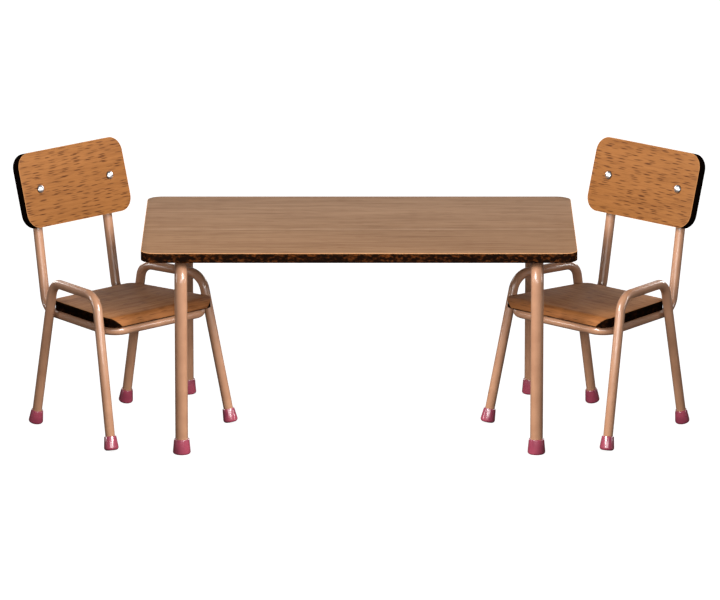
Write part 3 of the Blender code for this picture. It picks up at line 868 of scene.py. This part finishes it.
def hexagon_nut():
    """A drilled hexagon nut with broken edges, centred on the origin."""
    work = bmesh.new()
    corner_radius = NUT_ACROSS_CORNERS / 2
    bmesh.ops.create_cone(
        work, cap_ends=True, segments=6, radius1=corner_radius, radius2=corner_radius, depth=NUT_THICK
    )
    bmesh.ops.bevel(
        work, geom=work.edges[:], offset=NUT_EDGE, segments=2, profile=0.5, affect="EDGES", material=-1
    )
    return drilled(work, [Matrix()], BACK_SCREW["shank"] / 2 + FIT, 2 * NUT_THICK)


for chair, chair_place in CHAIRS.items():
    for (side, _), hole in zip(HANDS, BACK_HOLES):
        through = chair_place @ BACK_PLACE @ hole
        finish_piece(
            domed_screw(BACK_SCREW, screw_length), f"{chair}_back_screw_{side}", chair,
            [DOME_CHROME], through @ Matrix.Translation((0, 0, under_head)),
        )
        finish_piece(
            hexagon_nut(), f"{chair}_back_nut_{side}", chair, [CHROME],
            through @ Matrix.Translation((0, 0, -post_face - NUT_THICK / 2)), flat_along=UP,
        )


# ---- Studio
# A plain pale floor and soft lights: a key and a narrow streak for each half of the set, a low strip at each
# end, a fill on each side behind, a wide front fill and a rear panel. The long lens looks slightly down.

FLOOR_SIZE = 12.0
floor_shape = bmesh.new()
bmesh.ops.create_grid(floor_shape, x_segments=1, y_segments=1, size=FLOOR_SIZE / 2)
floor_mesh = bpy.data.meshes.new("floor")
floor_shape.to_mesh(floor_mesh)
floor_shape.free()
FLOOR_PAPER, tree, shader = new_finish(
    "floor_paper", Base_Color=(0.85, 0.85, 0.85, 1), Roughness=0.9, Specular_IOR_Level=0.0,
    Emission_Color=(1, 1, 1, 1), Emission_Strength=0.92,
)
seen = node(tree, "LightPath").outputs["Is Camera Ray"]
shaded = node(tree, "BsdfDiffuse", {"Color": (0.22, 0.21, 0.2, 1)}).outputs[0]
paper = node(tree, "MixShader", {0: seen, 1: shaded, 2: shader.outputs[0]}).outputs[0]
tree.links.new(paper, tree.nodes["Material Output"].inputs["Surface"])
floor_mesh.materials.append(FLOOR_PAPER)
floor = bpy.data.objects.new("floor", floor_mesh)
bpy.context.scene.collection.objects.link(floor)


def soft_light(name, place, target, width, height, power):
    data = bpy.data.lights.new(name, "AREA")
    data.shape, data.size, data.size_y, data.energy = "RECTANGLE", width, height, power
    light = bpy.data.objects.new(name, data)
    bpy.context.scene.collection.objects.link(light)
    light.location = place
    light.rotation_euler = (Vector(target) - Vector(place)).to_track_quat("-Z", "Y").to_euler()
    return light


def light_only(light, pieces):
    """Link a light to some of the pieces, so that it lights nothing else."""
    lit = bpy.data.collections.new(light.name + "_lights")
    for piece in pieces:
        lit.objects.link(piece)
    light.light_linking.receiver_collection = lit


MIDDLE = (0, 0, 0.05)
shown_pieces = [obj for obj in bpy.context.scene.objects if obj.type == "MESH" and obj is not floor]
all_but_top = [obj for obj in shown_pieces if obj.name != "table_top_finished"]
for side, other, sign in (("left", "right", 1), ("right", "left", -1)):
    this_half = [obj for obj in shown_pieces if other not in obj.name.split("_")[:3]]
    # Each half of the set is lit from the other half's side, and the table top from both.
    key = soft_light(
        f"{side}_half_key", (1.5 * sign, -1.78, 1.4), MIDDLE, width=0.9, height=1.2, power=115.0
    )
    streak = soft_light(
        f"{side}_half_streak", (0.95 * sign, -2.1, 1.0), MIDDLE, width=0.09, height=1.5, power=22.0
    )
    light_only(key, this_half)
    light_only(streak, this_half)
    soft_light(f"{side}_strip", (1.3 * sign, -0.15, 0.3), MIDDLE, width=0.12, height=0.8, power=5.0)
    rear_fill = soft_light(
        f"{side}_rear_fill", (1.5 * sign, 1.9, 1.0), MIDDLE, width=1.2, height=1.0, power=32.0
    )
    light_only(rear_fill, all_but_top)
soft_light("front_fill", (0, -2.4, 0.45), MIDDLE, width=1.6, height=0.6, power=17.0)
soft_light("rear_panel", (0, 1.3, 0.55), MIDDLE, width=1.6, height=0.5, power=2.5)

world = bpy.data.worlds.new("studio")
world.use_nodes = True
bpy.context.scene.world = world
tree = world.node_tree
tree.nodes.clear()
seen = node(tree, "LightPath").outputs["Is Camera Ray"]
surroundings = node(tree, "Background", {"Color": (1, 1, 1, 1), "Strength": 0.07}).outputs[0]
backdrop = node(tree, "Background", {"Color": (1, 1, 1, 1), "Strength": 1.0}).outputs[0]
shown = node(tree, "MixShader", {0: seen, 1: surroundings, 2: backdrop}).outputs[0]
tree.links.new(shown, tree.nodes.new("ShaderNodeOutputWorld").inputs["Surface"])
bpy.context.scene.view_settings.view_transform = "Standard"

camera_data = bpy.data.cameras.new("camera")
camera_data.lens, camera_data.sensor_width = 350, 36
camera_data.shift_x = 0.00125
camera_data.clip_end = 30
camera = bpy.data.objects.new("camera", camera_data)
bpy.context.scene.collection.objects.link(camera)
camera.location = (0, -2.6993, 0.6947)
camera.rotation_euler = (radians(76.573), 0, 0)
bpy.context.scene.camera = camera
